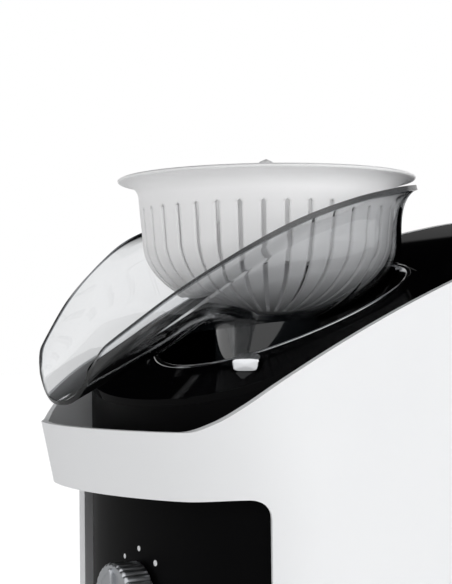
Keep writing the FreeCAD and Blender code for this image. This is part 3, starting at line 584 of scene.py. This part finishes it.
knob = gather(knob_surface(), pointer_surface())
piece("selector_knob", knob, "knob", knob_silver, ["control_knob"], sharp=35.0)
piece("dial_dots", dial_surface(), "base", white_abs)
gland = revolve([3.8, 8.0, 8.6, 9.6, 10.0, 10.0, 9.4, 6.2, 5.6, 3.8],
                [232.0, 232.0, 239.0, 239.4, 240.0, 241.0, 241.8, 243.6, 244.0, 244.0], 64)
piece("cord_gland_moulded", laid(gland, GLAND_Z), "base", foot_rubber, ["cord_gland"],
      sharp=35.0)


# Juice bowl

def bowl_wall():
    """Smoky bowl. Half sections run from a floor point to a rim point; both points follow curves from the
    beak round to the back, so at the front the sections stand across the trough and at the back they turn
    about the drive axis. A section is a U (a power of sine and cosine) at the beak and changes smoothly into
    a quarter ellipse with a flared wall above it at the round part; its last tenth rolls outwards into a lip.
    The inside is the outside moved along its normal by the wall, which is thinner at the beak."""
    station = np.array([0.0, 0.7, 1.7, 2.8, 3.9, 5.1, 6.4, 7.8, 9.0, 9.8])
    tracks = (
        # Rim point: across, along, up
        (29.2, 37.8, 53.0, 67.8, 78.6, 80.8, 72.3, 48.7, 19.5, 0.0),
        (-114.5, -104.8, -85.3, -61.0, -35.3, -5.6, 26.3, 58.1, 72.9, 75.4),
        (172.6, 182.2, 200.2, 217.3, 231.1, 241.2, 247.9, 252.6, 255.0, 255.3),
        # Floor point: along, up
        (-117.3, -104.0, -85.0, -60.0, -32.0, -6.0, 0.0, 0.0, 0.0, 0.0),
        (149.9, 156.6, 166.4, 178.2, 184.2, 184.6, 184.6, 184.6, 184.6, 184.6),
        # Share of the round section, and the power of its flare
        (0.0, 0.0, 0.08, 0.3, 0.7, 1.0, 1.0, 1.0, 1.0, 1.0),
        (1.6, 1.6, 1.6, 1.7, 1.9, 2.2, 3.0, 3.0, 3.0, 3.0),
    )
    count, steps, belly_step, rim_step = 170, 80, 20, 70
    right = np.linspace(0.0, station[-1], count)
    half = [curve_through(station, track, right) for track in tracks] + [right]
    rim_x, rim_y, rim_z, floor_y, floor_z, share, power, way = [np.concatenate([v, v[-2::-1]]) for v in half]
    side = np.concatenate([np.ones(count), -np.ones(count - 1)])
    # At the round part every section starts on the drive axis itself
    floor_y = np.where(floor_y > -0.5, 0.0, floor_y)
    # The beak's upper corners are cut off round, so the sections there end lower
    corner = np.clip(1 - way / 0.4, 0, 1)
    s = np.linspace(0.0, 1.0, steps)[:, None] * (1 - 0.22 * (1 - np.sqrt(1 - corner ** 2)))
    reach = np.hypot(rim_x, rim_y - floor_y)
    rise = rim_z - floor_z
    lip_start, belly = 0.90, 0.68
    lipped = smooth_step((way - 2.0) / 6.0)
    lip = BOWL_LIP * lipped
    body_reach = reach - lip
    # The lip takes the last tenth of the height over a longer run and ends level
    t = np.clip((s - lip_start) / (1 - lip_start), 0, 1)
    climb = np.where(s < lip_start, s, lip_start + (1 - lip_start) * 1.5 * (t - t ** 3 / 3))
    turn = climb * pi / 2
    u_out, u_up = 0.86 * np.sin(turn) ** 0.8 + 0.14 * climb ** 4, 1.0 - np.cos(turn) ** 0.92
    arc = np.clip(climb / belly, 0, 1) * pi / 2
    wall = np.clip((climb - belly) / (1 - belly), 0, 1)
    r_out = BELLY_RADIUS * np.sin(arc) + (body_reach - BELLY_RADIUS) * wall ** power
    r_up = BELLY_RISE * (1 - np.cos(arc)) + (rise - BELLY_RISE) * wall
    out = ((1 - share) * u_out * body_reach + share * r_out + lip * t * t) / reach
    up = (1 - share) * u_up * rise + share * r_up
    outer = np.stack([side * rim_x * out, floor_y + (rim_y - floor_y) * out, floor_z + up], -1)
    along = np.gradient(outer, axis=1)
    normal = np.cross(np.gradient(outer, axis=0), along)
    # On the floor line the two halves share a normal, and every normal points out, which is down in the belly
    normal[0] = normal[1] * (0.0, 1.0, 1.0)
    normal[0, floor_y == 0.0] = (0.0, 0.0, -1.0)
    normal /= np.maximum(np.linalg.norm(normal, axis=-1, keepdims=True), 1e-9)
    normal *= np.where(normal[belly_step, :, 2:] > 0, -1.0, 1.0)
    # Where there is no lip, the rim stands square on the wall
    normal[rim_step:] = lipped[:, None] * normal[rim_step:] + (1 - lipped[:, None]) * normal[rim_step]
    normal /= np.linalg.norm(normal, axis=-1, keepdims=True)
    inner = outer - normal * (BOWL_WALL + 0.2 * smooth_step(way / 4.0) + 0.3 * t)[..., None]
    rows = np.concatenate([outer, inner[::-1]])
    index = np.arange(rows.shape[0] * rows.shape[1]).reshape(rows.shape[:2])
    out_side, in_side = index[:len(s)], index[len(s):][::-1]
    ends = [np.stack([a[:-1], a[1:], b[1:], b[:-1]], -1) for a, b in (
        (out_side[:, 0], in_side[:, 0]), (in_side[:, -1], out_side[:, -1]))]
    quads = np.vstack([grid_quads(*rows.shape[:2])] + ends)
    # Painted shade for the material to read: 0 on the faces, 0.5 (a dark grey band) beside the rim and at the
    # beak's end, 1 (a paler, less clear grey) on the rim
    edge = np.zeros(s.shape)
    edge[-3:-1] = 0.5
    edge[-1] = 1.0
    edge[:, [0, -1]] = 0.5
    return (rows.reshape(-1, 3), quads), np.concatenate([edge, edge[::-1]]).ravel()


# The bowl carries its painted rim shade as one number per point
bowl_form, bowl_painted_shade = bowl_wall()
bowl = piece("smoky_bowl", bowl_form, "bowl", smoky_san, ["juice_bowl"], sharp=50.0,
             shade=bowl_painted_shade)
soften(bowl, 0.3, 2, 55.0)
# A clear wall would cast a closed shadow
bowl.visible_shadow = False

foot = gather(
    revolve([24.3, 26.0, 26.7, 26.7, 24.3], [152.6, 152.6, 153.3, 188.2, 187.4]),
    revolve([6.75, 9.0, 9.0, 8.4, 6.75], [186.4, 186.4, 213.4, 214.0, 214.0], 72),
)
# The foot wears a shaded copy of the bowl's resin: painted shade
piece("bowl_foot", foot, "bowl", painted_dark_san, sharp=30.0)


# Strainer

def strainer_sheet():
    """Outer skin of the strainer: a profile of a quarter ellipse, a nearly upright wall and a flared flange
    with a curled edge carried round the axis, with the faces of the radial slots left out. Columns stand on
    the slots' edges, and the row at the slot tops bends into arches."""
    arc = np.linspace(radians(10.5), pi / 2, 46)
    flare, curl = np.linspace(0, pi / 2, 11), np.linspace(0, pi / 2, 6)
    radius = np.concatenate([BASKET_RADIUS * np.sin(arc), np.linspace(BASKET_RADIUS, 64.2, 26)[1:], [64.45],
                             73.6 - 9.1 * np.cos(flare), 73.9 + 1.1 * np.sin(curl)])
    height = np.concatenate([228.0 - 37.0 * np.cos(arc), np.linspace(228.0, 246.5, 26)[1:], [248.5],
                             250.0 + 7.9 * np.sin(flare), 259.1 - 1.2 * np.cos(curl)])
    # Slot edges keep their distance apart, so their angle grows as the radius falls
    width = np.minimum(SLOT_HALF / radius, 0.075)[:, None]
    pitch = 2 * pi / SLOT_COUNT
    step = np.array([-1.0, -0.55, 0.0, 0.55, 1.0])
    bridge = np.linspace(0, 1, 9)[1:-1]
    column = np.hstack([width * step, width + bridge * (pitch - 2 * width)])
    centre = (np.arange(SLOT_COUNT) + SLOT_SHIFT) * pitch
    angle = (column[:, None, :] + centre[None, :, None]).reshape(len(radius), -1)
    open_column = np.tile(np.arange(column.shape[1]) < len(step) - 1, SLOT_COUNT)
    mid = (height[:-1] + height[1:]) / 2
    open_row = (mid < SLOT_TOP) & ((radius[:-1] + radius[1:]) / 2 > SLOT_INNER)
    arch = np.tile(np.concatenate([1 - np.sqrt(1 - step ** 2), np.zeros(len(bridge))]), SLOT_COUNT)
    last = np.flatnonzero(open_row)[-1] + 1
    z = height[:, None] + 0 * angle
    z[last] -= SLOT_HALF * arch
    points = grid_points(radius[:, None] * np.cos(angle), radius[:, None] * np.sin(angle), z)
    quads = grid_quads(len(radius), angle.shape[1], False, True)
    opened = (open_row[:, None] & open_column).ravel()
    return points, quads[~opened]


basket = piece("strainer_slotted", strainer_sheet(), "strainer", white_pp, ["strainer_basket"])
thicken(basket, BASKET_WALL)

tube = revolve([9.4, 11.2, 11.2, 5.5, 5.5, 9.4], [191.5, 191.5, 216.1, 216.1, 214.3, 214.3], 72)
piece("strainer_tube", tube, "strainer", white_pp, sharp=30.0)


# Reamer cone

def cone_surface():
    """Ribbed reamer: the radius falls from the skirt to a rounded tip, and rounded ribs, a power of the
    cosine round the axis, stand on it and fade at the tip. The inside follows one wall further in."""
    around = full_turn(200)
    up = np.linspace(0.0, 1.0, 40)[:, None]
    rib = (0.5 + 0.5 * np.cos(CONE_RIBS * around)) ** 2.2
    fall = np.sqrt(np.clip(1 - up ** 1.7, 0, 1)) * 0.35 + (1 - up) * 0.65
    outer = fall * (CONE_RADIUS + RIB_HEIGHT * rib * (1 - 0.55 * up))
    height = CONE_BOTTOM + CONE_RISE * up
    inner = np.maximum(fall[::-1] * CONE_RADIUS - CONE_WALL, 0.0)
    radius = np.vstack([outer, inner + 0 * around])
    height = np.vstack([height, np.minimum(height[::-1], CONE_INNER_TOP)])
    points = grid_points(radius * np.cos(around), radius * np.sin(around), height)
    return points, grid_quads(len(radius), len(around), True, True)


piece("reamer_ribbed", cone_surface(), "cone", white_pp, ["reamer_cone"], sharp=45.0)


# Studio: pale floor, a world that is white where the camera sees it, soft lamps and the camera

floor_mesh = bpy.data.meshes.new("studio_floor")
floor_mesh.from_pydata([(-6, -6, 0), (6, -6, 0), (6, 6, 0), (-6, 6, 0)], [], [(0, 1, 2, 3)])
studio_floor = bpy.data.objects.new("studio_floor", floor_mesh)
scene.collection.objects.link(studio_floor)

# Paper, uncoated: white where it is seen, grey where polished pieces mirror it.
paper, paper_tree, paper_shader, paper_place = start("studio_paper")
tooth = add(paper_tree, "ShaderNodeTexNoise", {"Vector": paper_place, "Scale": per_metre(4.0)})
seen = add(paper_tree, "ShaderNodeLightPath")
paper_tone = add(paper_tree, "ShaderNodeMix", {"Factor": seen.outputs["Is Glossy Ray"],
                                               6: to_linear("#F6F6F6"), 7: to_linear("#707070")},
                 data_type="RGBA")
paper_tree.links.new(paper_tone.outputs[2], paper_shader.inputs["Base Color"])
paper_shader.inputs["Emission Color"].default_value = to_linear("#FFFFFF")
matt = add(paper_tree, "ShaderNodeMapRange", {"Value": tooth.outputs["Fac"], "To Min": 0.8,
                                              "To Max": 0.9})
paper_tree.links.new(matt.outputs["Result"], paper_shader.inputs["Roughness"])
shown = add(paper_tree, "ShaderNodeMath", {0: seen.outputs["Is Camera Ray"],
                                           1: seen.outputs["Is Transmission Ray"]}, operation="MAXIMUM")
glow = add(paper_tree, "ShaderNodeMapRange", {"Value": shown.outputs["Value"], "To Min": 0.4,
                                              "To Max": 0.75})
paper_tree.links.new(glow.outputs["Result"], paper_shader.inputs["Emission Strength"])
floor_mesh.materials.append(paper)

# Room, by height: the dim light on the part, a dark ceiling in what polished pieces mirror, and the same,
# lower down, in what clear walls let through. On the camera's side the mirrored room is bright
world = bpy.data.worlds.new("studio")
scene.world = world
world.use_nodes = True
sky = world.node_tree
backdrop = sky.nodes["Background"]
ray = add(sky, "ShaderNodeLightPath")
heading = add(sky, "ShaderNodeTexCoord").outputs["Generated"]
aim = add(sky, "ShaderNodeSeparateXYZ", {"Vector": heading})
fill = add(sky, "ShaderNodeMapRange", {"Value": aim.outputs["Z"], "From Min": 0.25, "From Max": 0.55,
                                       "To Min": 0.4, "To Max": 0.28})
dark = add(sky, "ShaderNodeMapRange", {"Value": aim.outputs["Z"], "From Min": 0.255, "From Max": 0.265,
                                       "To Min": 0.55, "To Max": 0.003})
through = add(sky, "ShaderNodeMapRange", {"Value": aim.outputs["Z"], "From Min": 0.12, "From Max": 0.19,
                                          "To Min": 1.0, "To Max": 0.003})
camera_side = add(sky, "ShaderNodeVectorMath", {0: heading, 1: (0.84, -0.55, 0.0)}, operation="DOT_PRODUCT")
room = add(sky, "ShaderNodeMapRange", {"Value": camera_side.outputs["Value"], "From Min": 0.0,
                                       "From Max": 0.4})
mirrored = add(sky, "ShaderNodeMix", {"Factor": room.outputs["Result"], 2: dark.outputs["Result"], 3: 1.25})
lit = add(sky, "ShaderNodeMix", {"Factor": ray.outputs["Is Glossy Ray"], 2: fill.outputs["Result"],
                                 3: mirrored.outputs[0]})
passed = add(sky, "ShaderNodeMix", {"Factor": ray.outputs["Is Transmission Ray"], 2: lit.outputs[0],
                                    3: through.outputs["Result"]})
strength = add(sky, "ShaderNodeMath", {0: passed.outputs[0], 1: ray.outputs["Is Camera Ray"]},
               operation="MAXIMUM")
backdrop.inputs["Color"].default_value = to_linear("#FFFFFF")
sky.links.new(strength.outputs["Value"], backdrop.inputs["Strength"])

# Square soft boxes turned to the part: place and side in metres, power in watts. Polished and clear pieces
# show the world alone, so that no lamp stands in them
lamp_target = Vector((0, 0, 0.2))
for name, place, size, watts in (
    ("key_soft_box", (1.95, -0.1, 0.4), 1.3, 7.0),
    ("camera_soft_box", (1.5, -0.95, 0.9), 1.0, 4.5),
    ("back_soft_box", (1.6, 2.2, 0.25), 1.3, 26.0),
    ("front_soft_box", (-1.6, -1.1, 0.7), 1.0, 6.0),
):
    light = bpy.data.lights.new(name, "AREA")
    light.size = size
    light.energy = watts
    lamp = bpy.data.objects.new(name, light)
    lamp.location = place
    lamp.rotation_euler = (lamp_target - Vector(place)).to_track_quat("-Z", "Y").to_euler()
    lamp.visible_glossy = False
    lamp.visible_transmission = False
    scene.collection.objects.link(lamp)

# Camera of the photograph: nearly level, long lens, a little below the strainer. The sensor spans the longer
# side of the picture, and the focal length was fitted in its pixels
sensor, focal_pixels, picture_pixels = 36.0, 1514.0, 584.0
camera_data = bpy.data.cameras.new("photo_camera")
camera_data.sensor_width = sensor
camera_data.lens = sensor * focal_pixels / picture_pixels
camera_data.clip_start = 0.05
camera = bpy.data.objects.new("photo_camera", camera_data)
scene.collection.objects.link(camera)
scene.camera = camera
pitch, roll = radians(1.65), radians(-0.64)
ahead = Vector((-0.8369 * cos(pitch), 0.5473 * cos(pitch), sin(pitch)))
turned = ahead.to_track_quat("-Z", "Y").to_matrix().to_4x4() @ Matrix.Rotation(roll, 4, "Z")
camera.matrix_world = Matrix.Translation((0.6273, -0.4965, 0.181)) @ turned
